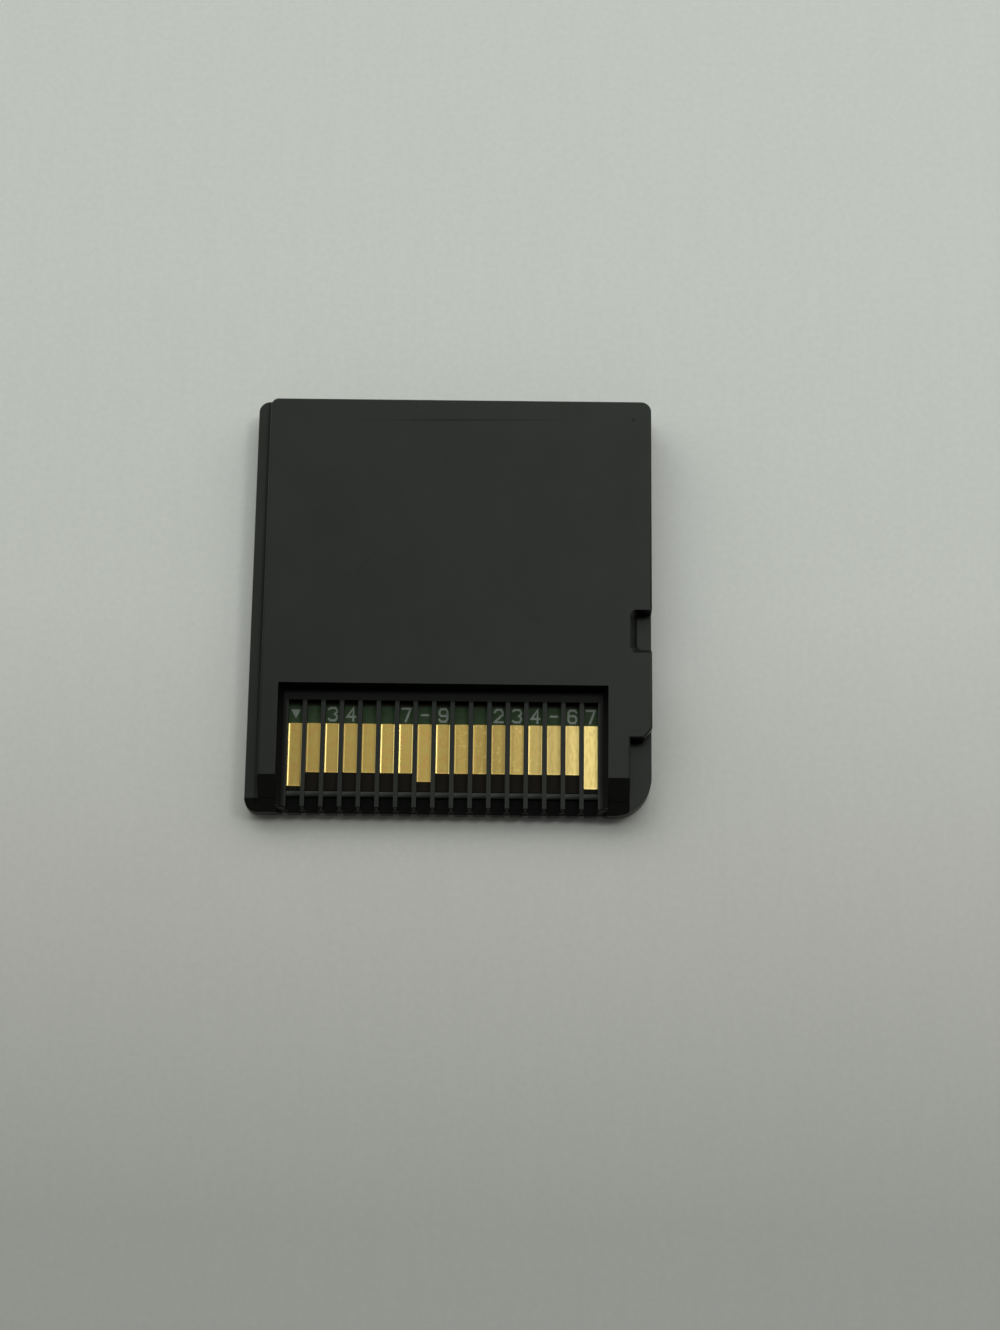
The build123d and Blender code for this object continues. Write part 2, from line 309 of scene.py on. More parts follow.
@dataclass(frozen=True)
class BoardLaminate:
    """Glass-epoxy board under green solder mask, with its laminate uncovered and brown along its contact
    edge.

    The mask gives the eye a dull green, faintly mottled by the weave under it. Where the slots end it gives
    way softly to a painted shadow in the dark laminate colour.
    """

    mask: str = "#3c4f36"
    mask_dark: str = "#33452d"
    bare_and_shadow: str = "#17130b"
    bare_reach: float = 3.34 * MM  # from the contact edge to the mask
    # Painted shadow: the mask ends where the slots end under the cover, and the dark laminate colour stands
    # in for the shade there
    shadow_reach: float = 8.98 * MM  # from the contact edge to the mask's far end
    shadow_fade: float = 0.26 * MM
    ior: float = 1.5
    shine: float = 0.1
    roughness_range: tuple[float, float] = (0.55, 0.68)
    weave_mm: float = 0.45
    weave_detail: float = 3.0
    weave_strength: float = 0.15
    weave_depth: float = 0.01 * MM
    colour_span: tuple[float, float] = (0.3, 0.7)
    roughness_span: tuple[float, float] = (0.2, 0.8)

    def material(self, near_y: float) -> Material:
        """Builds the board's material.

        Args:
            near_y: the card's contact edge.

        Returns:
            The material.
        """
        material, tree, shader, coords = start_material("glass_epoxy_green_solder_mask")
        shader.inputs["IOR"].default_value = self.ior
        shader.inputs["Specular IOR Level"].default_value = self.shine
        weave = add_node(tree, "TexNoise", links={
            "Vector": coords, "Scale": per_metre(self.weave_mm), "Detail": self.weave_detail}).outputs["Fac"]
        along = add_node(tree, "SeparateXYZ", links={"Vector": coords}).outputs["Y"]
        past_bare = add_node(tree, "Math", {"operation": "GREATER_THAN"}, {
            0: along, 1: near_y + self.bare_reach})
        shadow_start = near_y + self.shadow_reach
        before_shadow = add_node(tree, "MapRange", {"interpolation_type": "SMOOTHSTEP"}, {
            "Value": along, "From Min": shadow_start - self.shadow_fade, "From Max": shadow_start,
            "To Min": 1.0, "To Max": 0.0})
        masked = add_node(tree, "Math", {"operation": "MULTIPLY"}, {
            0: past_bare.outputs[0], 1: before_shadow.outputs["Result"]})
        mask = add_node(tree, "ValToRGB", links={"Fac": weave}, stops=(
            (self.colour_span[0], linear(self.mask_dark)), (self.colour_span[1], linear(self.mask))))
        # Uncovered laminate near the contact edge and the painted shadow past the slots' ends share one dark
        # colour
        colour = add_node(tree, "Mix", {"data_type": "RGBA"}, {
            "Factor": masked.outputs[0], "A": linear(self.bare_and_shadow), "B": mask.outputs["Color"]})
        tree.links.new(colour.outputs["Result"], shader.inputs["Base Color"])
        roughness = add_node(tree, "MapRange", links={
            "Value": weave, "From Min": self.roughness_span[0], "From Max": self.roughness_span[1],
            "To Min": self.roughness_range[0], "To Max": self.roughness_range[1]})
        tree.links.new(roughness.outputs["Result"], shader.inputs["Roughness"])
        bump = add_node(tree, "Bump", links={
            "Height": weave, "Strength": self.weave_strength, "Distance": self.weave_depth})
        tree.links.new(bump.outputs["Normal"], shader.inputs["Normal"])
        return material


@dataclass(frozen=True)
class HardGold:
    """Hard gold plated over nickel: a pale warm metal, clouded, and rubbed along its length by springs.

    The springs roughen the pads most at the right end of the row, so they scatter more of the light there.
    A painted highlight in pale bright gold also grows towards that end, in flecks and short streaks; it
    stands in for brighter light reflected there. The rims carry a painted highlight too, which
    strengthens their glints.
    """

    colour: str = "#a49250"
    worn: str = "#a18249"
    highlight_colour: str = "#ffe695"
    wear_span: tuple[float, float] = (0.35, 0.65)
    blotch_mm: float = 0.55
    blotch_detail: float = 3.0
    streak_mm: float = 0.16
    streak_length_mm: float = 0.8
    streak_detail: float = 2.0
    streak_share: float = 0.4
    # Across this span the springs' roughening and the painted highlight both grow
    wear_and_highlight_from: float = -2.0 * MM  # place across the card where the wiping starts
    wear_and_highlight_to: float = 11.2 * MM  # place across the card where it is full
    highlight_power: float = 3.6
    highlight_span: tuple[float, float] = (0.35, 0.55)
    highlight_least: float = 0.7
    fleck_mm: float = 0.28
    fleck_detail: float = 1.0
    fleck_span: tuple[float, float] = (0.56, 0.68)
    fleck_most: float = 0.5
    rim_span: tuple[float, float] = (0.25, 0.6)
    rim_glint_most: float = 0.75
    roughness: float = 0.32
    wiped_roughness: float = 0.46
    pitch: float = 1.5 * MM
    own_share: float = 0.35  # how much of the gloss is each pad's own
    gloss_span: tuple[float, float] = (0.2, 0.8)
    gloss_range: tuple[float, float] = (0.78, 1.22)
    wear_strength: float = 0.14
    wear_depth: float = 0.01 * MM

    def material(self) -> Material:
        """Builds the plating's material.

        Returns:
            The material.
        """
        material, tree, shader, coords = start_material("hard_gold_plating_wiped_painted_highlight")
        shader.inputs["Metallic"].default_value = 1.0
        fine, long = per_metre(self.streak_mm), per_metre(self.streak_length_mm)
        stretch = add_node(tree, "Mapping", links={"Vector": coords, "Scale": (fine, long, fine)})
        streaks = add_node(tree, "TexNoise", links={
            "Vector": stretch.outputs["Vector"], "Scale": 1.0, "Detail": self.streak_detail}).outputs["Fac"]
        blotches = add_node(tree, "TexNoise", links={
            "Vector": coords, "Scale": per_metre(self.blotch_mm), "Detail": self.blotch_detail})
        wear = add_node(tree, "Mix", {"data_type": "FLOAT"}, {
            "Factor": self.streak_share, "A": blotches.outputs["Fac"], "B": streaks}).outputs["Result"]
        across = add_node(tree, "SeparateXYZ", links={"Vector": coords}).outputs["X"]
        wear_and_highlight = add_node(tree, "MapRange", links={
            "Value": across, "From Min": self.wear_and_highlight_from, "From Max": self.wear_and_highlight_to}).outputs["Result"]
        gold = add_node(tree, "ValToRGB", links={"Fac": wear}, stops=(
            (self.wear_span[0], linear(self.worn)), (self.wear_span[1], linear(self.colour))))
        # Painted highlight: pale bright gold mixed over the pads' own colour
        colour = add_node(tree, "Mix", {"data_type": "RGBA"}, {
            "Factor": self.painted_highlight_share(tree, coords, streaks, wear_and_highlight), "A": gold.outputs["Color"],
            "B": linear(self.highlight_colour)})
        tree.links.new(colour.outputs["Result"], shader.inputs["Base Color"])
        tree.links.new(self.scatter(tree, across, wear, wear_and_highlight), shader.inputs["Roughness"])
        bump = add_node(tree, "Bump", links={
            "Height": wear, "Strength": self.wear_strength, "Distance": self.wear_depth})
        tree.links.new(bump.outputs["Normal"], shader.inputs["Normal"])
        return material

    def painted_highlight_share(self, tree: NodeTree, coords: NodeSocket, streaks: NodeSocket,
                     wear_and_highlight: NodeSocket) -> NodeSocket:
        """How much painted highlight shows: pale streaks and flecks that grow towards the right end, or a
        rim's highlight, whichever is most.

        Args:
            tree: node tree of the plating.
            coords: its object coordinates.
            streaks: pattern drawn out along the pads.
            wear_and_highlight: how far the rubbing and the painted highlight have grown, from none to one.

        Returns:
            A factor: the share of the painted highlight colour.
        """
        growth = add_node(tree, "Math", {"operation": "POWER"}, {0: wear_and_highlight, 1: self.highlight_power})
        streaked = add_node(tree, "MapRange", links={
            "Value": streaks, "From Min": self.highlight_span[0], "From Max": self.highlight_span[1],
            "To Min": self.highlight_least})
        bright = add_node(tree, "Math", {"operation": "MULTIPLY"}, {
            0: growth.outputs[0], 1: streaked.outputs["Result"]}).outputs[0]
        specks = add_node(tree, "TexNoise", links={
            "Vector": coords, "Scale": per_metre(self.fleck_mm), "Detail": self.fleck_detail})
        chosen = add_node(tree, "MapRange", links={
            "Value": specks.outputs["Fac"], "From Min": self.fleck_span[0], "From Max": self.fleck_span[1],
            "To Max": self.fleck_most})
        flecks = add_node(tree, "Math", {"operation": "MULTIPLY"}, {0: chosen.outputs["Result"], 1: wear_and_highlight})
        # Painted highlight on the side rims: pale bright gold that grows with a point's height on a rim
        rim = add_node(tree, "Attribute", {"attribute_name": RIM})
        rim_glint = add_node(tree, "MapRange", links={
            "Value": rim.outputs["Fac"], "From Min": self.rim_span[0], "From Max": self.rim_span[1],
            "To Max": self.rim_glint_most})
        for other in (flecks.outputs[0], rim_glint.outputs["Result"]):
            bright = add_node(tree, "Math", {"operation": "MAXIMUM"}, {0: bright, 1: other}).outputs[0]
        return bright

    def scatter(self, tree: NodeTree, across: NodeSocket, wear: NodeSocket,
                wear_and_highlight: NodeSocket) -> NodeSocket:
        """How rough the plating is: more so where it is rubbed, with a share that is each pad's own.

        Args:
            tree: node tree of the plating.
            across: place across the card.
            wear: pattern of the wear.
            wear_and_highlight: how far the rubbing has grown across the card, from none to one.

        Returns:
            The roughness.
        """
        broad = add_node(tree, "MapRange", links={
            "Value": wear_and_highlight, "To Min": self.roughness, "To Max": self.wiped_roughness})
        row = add_node(tree, "Math", {"operation": "DIVIDE"}, {0: across, 1: self.pitch})
        pad = add_node(tree, "Math", {"operation": "ROUND"}, {0: row.outputs[0]})
        own = add_node(tree, "TexWhiteNoise", {"noise_dimensions": "1D"}, {"W": pad.outputs[0]})
        blend = add_node(tree, "Mix", {"data_type": "FLOAT"}, {
            "Factor": self.own_share, "A": wear, "B": own.outputs["Value"]})
        gloss = add_node(tree, "MapRange", links={
            "Value": blend.outputs["Result"], "From Min": self.gloss_span[0], "From Max": self.gloss_span[1],
            "To Min": self.gloss_range[0], "To Max": self.gloss_range[1]})
        return add_node(tree, "Math", {"operation": "MULTIPLY"}, {
            0: broad.outputs["Result"], 1: gloss.outputs["Result"]}).outputs[0]


@dataclass(frozen=True)
class PlainFinish:
    """A finish with a fine mottle, for the pieces sealed inside and the board's print."""

    name: str
    light: str
    dark: str
    roughness: float
    mottle_mm: float
    metallic: float = 0.0
    mottle_detail: float = 3.0
    colour_span: tuple[float, float] = (0.35, 0.65)
    roughness_span: tuple[float, float] = (0.2, 0.8)
    roughness_spread: float = 0.06

    def material(self) -> Material:
        """Builds the finish.

        Returns:
            The material.
        """
        material, tree, shader, coords = start_material(self.name)
        shader.inputs["Metallic"].default_value = self.metallic
        mottle = add_node(tree, "TexNoise", links={
            "Vector": coords, "Scale": per_metre(self.mottle_mm),
            "Detail": self.mottle_detail}).outputs["Fac"]
        colour = add_node(tree, "ValToRGB", links={"Fac": mottle}, stops=(
            (self.colour_span[0], linear(self.dark)), (self.colour_span[1], linear(self.light))))
        tree.links.new(colour.outputs["Color"], shader.inputs["Base Color"])
        roughness = add_node(tree, "MapRange", links={
            "Value": mottle, "From Min": self.roughness_span[0], "From Max": self.roughness_span[1],
            "To Min": self.roughness - self.roughness_spread,
            "To Max": self.roughness + self.roughness_spread})
        tree.links.new(roughness.outputs["Result"], shader.inputs["Roughness"])
        return material


# Sealed pieces: dull black moulded epoxy, bright tin, and fired ceramic with an eggshell gloss
CHIP_EPOXY = PlainFinish("epoxy_moulded_matte_black", "#242424", "#1b1b1b", 0.55, 0.2)
TIN = PlainFinish("tin_plated_bright", "#c9ccd0", "#b4b8bd", 0.3, 0.15, metallic=1.0)
CERAMIC = PlainFinish("ceramic_fired_tan", "#a88a62", "#94774f", 0.5, 0.2)
RESISTOR = PlainFinish("ceramic_fired_black", "#2b2b2d", "#202022", 0.45, 0.2)

# Screen-printed ink, thin enough for the green to grey it
PRINT_INK = PlainFinish("epoxy_ink_screen_printed_white", "#8d978c", "#7b857a", 0.6, 0.12)


@dataclass(frozen=True)
class PaperBackdrop:
    """Matte paper, pale grey with faint grain and fine streaks, under a painted shade that deepens towards
    the camera.
    """

    painted_shade_greys: tuple[tuple[float, str], ...] = (
        (0.25, "#b0b0ac"), (0.48, "#cacac4"), (0.67, "#dadcd7"), (0.92, "#dee1dc"))
    shade_near: float = -0.08
    shade_far: float = 0.04
    roughness: float = 0.55
    grain_mm: float = 0.5
    grain_detail: float = 4.0
    streak_mm: float = 1.2
    streak_length_mm: float = 9.6
    streak_detail: float = 3.0
    streak_share: float = 0.25
    mottle_span: tuple[float, float] = (0.3, 0.7)
    mottle_least: float = 0.94

    def material(self) -> Material:
        """Builds the paper's material.

        Returns:
            The material.
        """
        material, tree, shader, coords = start_material("paper_backdrop_grey_painted_shade")
        shader.inputs["Roughness"].default_value = self.roughness
        axes = add_node(tree, "SeparateXYZ", links={"Vector": coords})
        # Painted shade: the grey deepens towards the camera, standing in for shade cast from the camera's
        # side
        away = add_node(tree, "MapRange", links={
            "Value": axes.outputs["Y"], "From Min": self.shade_near, "From Max": self.shade_far})
        shade = add_node(tree, "ValToRGB", links={"Fac": away.outputs["Result"]}, stops=[
            (place, linear(colour)) for place, colour in self.painted_shade_greys])
        grain = add_node(tree, "TexNoise", links={
            "Vector": coords, "Scale": per_metre(self.grain_mm), "Detail": self.grain_detail})
        stretch = add_node(tree, "Mapping", links={
            "Vector": coords, "Scale": (per_metre(self.streak_mm), per_metre(self.streak_length_mm), 1.0)})
        streaks = add_node(tree, "TexNoise", links={
            "Vector": stretch.outputs["Vector"], "Scale": 1.0, "Detail": self.streak_detail})
        blend = add_node(tree, "Mix", {"data_type": "FLOAT"}, {
            "Factor": self.streak_share, "A": grain.outputs["Fac"], "B": streaks.outputs["Fac"]})
        mottle = add_node(tree, "MapRange", links={
            "Value": blend.outputs["Result"], "From Min": self.mottle_span[0],
            "From Max": self.mottle_span[1], "To Min": self.mottle_least})
        tint = add_node(tree, "Mix", {"data_type": "RGBA", "blend_type": "MULTIPLY"}, {
            "Factor": 1.0, "A": shade.outputs["Color"], "B": mottle.outputs["Result"]})
        tree.links.new(tint.outputs["Result"], shader.inputs["Base Color"])
        return material


def new_piece(name: str, points: np.ndarray, faces: Sequence[Sequence[int]], material: Material) -> Object:
    """Makes a mesh piece that rides on the card.

    Args:
        name: the piece's name.
        points: one row of x, y, z for each vertex.
        faces: vertex numbers of each face, turning outwards.
        material: its finish.

    Returns:
        The piece, at the origin.
    """
    mesh = bpy.data.meshes.new(name)
    mesh.from_pydata(points.tolist(), [], [list(face) for face in faces])
    mesh.validate()
    mesh.materials.append(material)
    piece = bpy.data.objects.new(name, mesh)
    bpy.context.scene.collection.objects.link(piece)
    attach(piece, CARD_BODY)
    return piece


def dress(node: str, material: Material) -> Object:
    """Gives a solid's own object a material.

    Args:
        node: the solid's node.
        material: its finish.

    Returns:
        The solid's object.
    """
    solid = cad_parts[node]
    solid.data.materials.clear()
    solid.data.materials.append(material)
    return solid


def prism_faces(count: int) -> list[list[int]]:
    """Faces of a closed prism: a floor, a top, and a wall on each side.

    Args:
        count: points of the floor, turning left; the top's points follow in the same order.

    Returns:
        Vertex numbers of each face.
    """
    here = np.arange(count)
    after = (here + 1) % count
    walls = np.stack([here, after, after + count, here + count], 1)
    return [here[::-1].tolist(), (here + count).tolist()] + walls.tolist()


def plated_pad(low: np.ndarray, high: np.ndarray, corner: float, side: tuple[float, float],
               near: tuple[float, float], rim_steps: int, corner_steps: int
               ) -> tuple[np.ndarray, list[list[int]], np.ndarray]:
    """A flat pad whose plating stands a little higher along both sides and the near end.

    A grid over the pad's plan: one parameter runs across, the other along it. The height falls
    from the edge to the face by half a cosine wave, over the side rim's width across and the near
    rim's width along, and the higher of the two counts. Near the two ends the rows draw in by a
    quarter circle, which rounds the corners. A skirt closes the grid down to the board.

    Args:
        low: lowest corner of the pad's box.
        high: highest corner of the pad's box.
        corner: radius of the corners in plan.
        side: width and height of the rims along the sides.
        near: width and height of the rim at the near end.
        rim_steps: points over the width of a rim.
        corner_steps: points over a corner.

    Returns:
        Vertices, faces, and how high each vertex stands on a side rim.
    """
    width, length = high[0] - low[0], high[1] - low[1]
    step = (1 - np.cos(np.linspace(0, math.pi, rim_steps))) / 2
    across = np.sort(np.concatenate([step * side[0], [width / 2], width - step * side[0]]))
    bend = corner * (1 - np.cos(np.linspace(0, math.pi / 2, corner_steps)))
    places = np.concatenate([bend, corner + step * near[0], [length / 2], length - bend])
    along = np.unique(places.round(9))  # to the nanometre, so that equal places merge
    to_side = np.minimum(across, width - across)[None, :]
    to_near = along[:, None]
    rim_side = side[1] * (1 + np.cos(math.pi * np.clip(to_side / side[0], 0, 1))) / 2
    rim_near = near[1] * (1 + np.cos(math.pi * np.clip(to_near / near[0], 0, 1))) / 2
    height = high[2] - side[1] + np.maximum(rim_side, rim_near)
    to_end = np.clip(np.minimum(along, length - along), 0, corner)
    drawn = 1 - 2 * (corner - np.sqrt(corner ** 2 - (corner - to_end) ** 2)) / width
    x = low[0] + width / 2 + (across[None, :] - width / 2) * drawn[:, None]
    y = np.broadcast_to(low[1] + along[:, None], x.shape)
    rows, columns = x.shape
    top = np.stack([x, y, height], 2).reshape(-1, 3)
    place = np.arange(rows * columns).reshape(rows, columns)
    quads = np.stack([place[:-1, :-1], place[:-1, 1:], place[1:, 1:], place[1:, :-1]], 2).reshape(-1, 4)
    edge = np.concatenate([place[0, :-1], place[:-1, -1], place[-1, :0:-1], place[:0:-1, 0]])
    skirt = top[edge] * (1, 1, 0) + (0, 0, low[2])
    here = np.arange(len(edge))
    after = np.roll(here, -1)
    foot = rows * columns
    walls = np.stack([foot + here, foot + after, edge[after], edge], 1)
    raised = np.concatenate([np.broadcast_to(rim_side, x.shape).ravel(), np.zeros(len(edge))])
    faces = quads.tolist() + walls.tolist() + [(foot + here[::-1]).tolist()]
    return np.vstack([top, skirt]), faces, raised


def inked_stroke(path: np.ndarray, width: float, base: float, top: float, lap: float,
                 least_cosine: float) -> tuple[np.ndarray, list[list[int]]]:
    """A flat line of ink along a bent path, as wide as a pen all the way.

    Each corner moves out along the line that halves it, by half the width over the cosine of half
    the turn, on both sides of the path; the two sides make one closed outline, raised by the ink.
    The upper face rises evenly along the path by the lap, so that where the line meets itself its
    later part lies on top.

    Args:
        path: x and y of the corners, in order.
        width: the line's width.
        base: level that the ink lies on.
        top: level of its upper face where it starts.
        lap: how much higher it ends.
        least_cosine: least cosine to divide by, which keeps sharp corners from growing spikes.

    Returns:
        Vertices and faces.
    """
    legs = np.diff(path, axis=0)
    legs /= np.linalg.norm(legs, axis=1)[:, None]
    before, after = np.vstack([legs[:1], legs]), np.vstack([legs, legs[-1:]])
    along = before + after
    along /= np.linalg.norm(along, axis=1)[:, None]
    half_turn = np.maximum((along * after).sum(1), least_cosine)[:, None]
    out = np.stack([-along[:, 1], along[:, 0]], 1) * (width / 2) / half_turn
    ends = np.zeros_like(path)
    ends[0], ends[-1] = -legs[0] * width / 2, legs[-1] * width / 2
    left, right = path + out + ends, path - out + ends
    count = len(path)
    levels = np.full((count, 1), base), np.linspace(top, top + lap, count)[:, None]
    points = np.vstack([np.hstack([side, level]) for level in levels for side in (left, right)])
    here = np.arange(count - 1)
    lower = np.stack([here, here + 1, here + 1 + count, here + count], 1)
    upper = lower[:, ::-1] + 2 * count
    left_wall = np.stack([here, here + 2 * count, here + 1 + 2 * count, here + 1], 1)
    right_wall = np.stack([here + count, here + 1 + count, here + 1 + 3 * count, here + 3 * count], 1)
    last = count - 1
    caps = [[0, count, 3 * count, 2 * count], [last, last + 2 * count, last + 3 * count, last + count]]
    return points, np.concatenate([lower, upper, left_wall, right_wall]).tolist() + caps


@dataclass
class Shells:
    """The two mouldings: copies of the solids with their sharp edges broken as a mould leaves them."""

    edge_break: float = 0.05 * MM
    edge_steps: int = 2
    sharp_from: float = math.radians(24)
    flat_within: float = math.radians(0.5)
    merge_reach: float = 0.0005 * MM
    tray: MouldedPlastic = MouldedPlastic(flaws_and_shade=TRAY_PAINTED_SHADE)
    cover: MouldedPlastic = MouldedPlastic("abs_moulded_satin_black_handled_painted_shade", flaws_and_shade=COVER_FLAWS_AND_SHADE)

    def build(self) -> list[Object]:
        """Makes and dresses both mouldings.

        Returns:
            The two pieces.
        """
        finishes = {"front_shell": self.tray, "back_shell": self.cover}
        return [self.moulding(node, finish.material()) for node, finish in finishes.items()]

    def moulding(self, node: str, material: Material) -> Object:
        """Copies one shell's mesh, merges it and breaks its edges.

        Args:
            node: the shell's node.
            material: its finish.

        Returns:
            The piece that stands for the node.
        """
        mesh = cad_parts[node].data.copy()
        work = bmesh.new()
        work.from_mesh(mesh)
        bmesh.ops.remove_doubles(work, verts=work.verts, dist=self.merge_reach)
        bmesh.ops.dissolve_limit(work, angle_limit=self.flat_within, verts=work.verts, edges=work.edges)
        work.to_mesh(mesh)
        work.free()
        mesh.name = node + "_moulding"
        mesh.materials.clear()
        mesh.materials.append(material)
        mesh.shade_smooth()
        piece = bpy.data.objects.new(mesh.name, mesh)
        bpy.context.scene.collection.objects.link(piece)
        bevel = piece.modifiers.new("edge_break", "BEVEL")
        bevel.width = self.edge_break
        bevel.segments = self.edge_steps
        bevel.limit_method = "ANGLE"
        bevel.angle_limit = self.sharp_from
        bevel.use_clamp_overlap = True
        bevel.miter_outer = "MITER_ARC"
        normals = piece.modifiers.new("flat_faces", "WEIGHTED_NORMAL")
        normals.keep_sharp = True
        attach(piece, CARD_BODY)
        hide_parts(node)
        return piece


@dataclass
class Contacts:
    """The row of gold pads: each one's box is its solid's, with the low rims that plating builds up."""

    corner: float = 0.06 * MM
    corner_steps: int = 5
    side_rim: tuple[float, float] = (0.14 * MM, 0.036 * MM)  # width and height
    near_rim: tuple[float, float] = (0.12 * MM, 0.014 * MM)  # width and height
    rim_steps: int = 9
    # Contacts whose side rims stand full height and carry the full painted highlight
    full_rims: tuple[int, ...] = (1, 3, 6, 7, 9, 14)  # contacts whose side rims are unworn
    worn_rim: float = 0.4  # share of the side rims' height that is left on the others
    finish: HardGold = HardGold()

    def build(self) -> list[Object]:
        """Makes one pad for each contact.

        Returns:
            The pads, from left to right.
        """
        material = self.finish.material()
        width, height = self.side_rim
        pads = []
        for number in range(1, CONTACT_COUNT + 1):
            node = f"contact_{number:02d}"
            low, high = (np.array(corner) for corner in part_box(node))
            share = 1.0 if number in self.full_rims else self.worn_rim
            points, faces, raised = plated_pad(low, high, self.corner, (width, height * share),
                                               self.near_rim, self.rim_steps, self.corner_steps)
            pad = new_piece(f"gold_pad_{number:02d}", points, faces, material)
            # How high each point stands on a side rim; it drives the rims' painted highlight
            layer = pad.data.attributes.new(RIM, "FLOAT", "POINT")
            layer.data.foreach_set("value", raised / height)
            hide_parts(node)
            pads.append(pad)
        return pads


# Corners of each printed sign in a unit box: plain digits and a dash
SIGNS = {
    "2": ((0, .8), (.2, 1), (.8, 1), (1, .8), (1, .6), (0, 0), (1, 0)),
    "3": ((0, .9), (.2, 1), (.8, 1), (1, .82), (1, .66), (.75, .52),
          (1, .36), (1, .18), (.8, 0), (.2, 0), (0, .1)),
    "4": ((.75, 0), (.75, 1), (0, .3), (1, .3)),
    "6": ((1, .85), (.8, 1), (.2, 1), (0, .8), (0, .2), (.2, 0),
          (.8, 0), (1, .2), (1, .38), (.8, .55), (.26, .55)),
    "7": ((0, 1), (1, 1), (.4, 0)),
    "9": ((0, .15), (.2, 0), (.8, 0), (1, .2), (1, .8), (.8, 1),
          (.2, 1), (0, .8), (0, .62), (.2, .45), (.74, .45)),
    "-": ((.1, .5), (.9, .5)),
}


@dataclass
class Board:
    """The board's mask, and the pale print between its contacts and the slots' ends."""

    near_y: float
    sign_width: float = 0.66 * MM
    sign_height: float = 1.04 * MM
    pen: float = 0.17 * MM
    ink: float = 0.012 * MM
    lap: float = 0.003 * MM
    least_cosine: float = 0.45
    print_y: float = 8.15 * MM  # from the contact edge to the print's middle line
    triangle_width: float = 0.82 * MM
    triangle_height: float = 0.74 * MM
    print_row: tuple[tuple[int, str], ...] = (
        (3, "3"), (4, "4"), (7, "7"), (8, "-"), (9, "9"),
        (12, "2"), (13, "3"), (14, "4"), (15, "-"), (16, "6"), (17, "7"))
    finish: BoardLaminate = BoardLaminate()

    def build(self) -> list[Object]:
        """Dresses the board and prints on it.

        Returns:
            The board and the printed pieces.
        """
        board = dress("circuit_board", self.finish.material(self.near_y))
        ink = PRINT_INK.material()
        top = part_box("circuit_board")[1][2]
        mark = self.pin_mark(ink, top)
        signs = [self.sign(number, sign, ink, top) for number, sign in self.print_row]
        return [board, mark, *signs]

    def slot_middle(self, number: int) -> float:
        """Middle line of the slot over one contact."""
        low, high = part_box(f"contact_{number:02d}")
        return (low[0] + high[0]) / 2

    def pin_mark(self, ink: Material, top: float) -> Object:
        """A triangle that points at the first contact: a three-sided prism of ink.

        Args:
            ink: its finish.
            top: level of the board's face.

        Returns:
            The mark.
        """
        middle, line = self.slot_middle(1), self.near_y + self.print_y
        half, tall = self.triangle_width / 2, self.triangle_height / 2
        plan = np.array([[middle - half, line + tall], [middle, line - tall], [middle + half, line + tall]])
        levels = np.repeat([top, top + self.ink], len(plan))[:, None]
        points = np.hstack([np.vstack([plan, plan]), levels])
        return new_piece("print_pin_mark", points, prism_faces(len(plan)), ink)

    def sign(self, number: int, sign: str, ink: Material, top: float) -> Object:
        """One sign of the print: a pen line in the slot over a contact.

        Args:
            number: the contact's number.
            sign: a digit or a dash.
            ink: its finish.
            top: level of the board's face.

        Returns:
            The sign.
        """
        size = np.array([self.sign_width, self.sign_height])
        path = (np.array(SIGNS[sign], dtype=float) - 0.5) * size
        path += (self.slot_middle(number), self.near_y + self.print_y)
        points, faces = inked_stroke(path, self.pen, top, top + self.ink, self.lap, self.least_cosine)
        return new_piece(f"print_sign_{number:02d}", points, faces, ink)


@dataclass
class Innards:
    """The sealed pieces on the board, which keep their solids: each finish and the nodes that have it."""

    finishes: tuple[tuple[PlainFinish, tuple[str, ...]], ...] = (
        (CHIP_EPOXY, ("rom_chip", "save_chip")),
        (TIN, ("rom_chip_leads", "save_chip_leads")),
        (CERAMIC, ("capacitor_1", "capacitor_2")),
        (RESISTOR, ("resistor_1",)),
    )

    def build(self) -> list[Object]:
        """Dresses the chips, their leads and the small parts.

        Returns:
            The dressed solids.
        """
        dressed = []
        for finish, nodes in self.finishes:
            material = finish.material()
            dressed += [dress(node, material) for node in nodes]
        return dressed


@dataclass(frozen=True)
class Lamp:
    """A flat lamp: place, width, height, power, and the point that it faces."""

    name: str
    place: tuple[float, float, float]
    width: float
    height: float
    energy: float
    aim: tuple[float, float, float] = (0.0, 0.0, 0.0)

    def hang(self) -> None:
        """Puts the lamp in the scene."""
        light = bpy.data.lights.new(self.name, "AREA")
        light.shape = "RECTANGLE"
        light.size = self.width
        light.size_y = self.height
        light.energy = self.energy
        holder = bpy.data.objects.new(self.name, light)
        holder.location = self.place
        facing = Vector(self.aim) - Vector(self.place)
        holder.rotation_euler = facing.to_track_quat("-Z", "Y").to_euler()
        bpy.context.scene.collection.objects.link(holder)


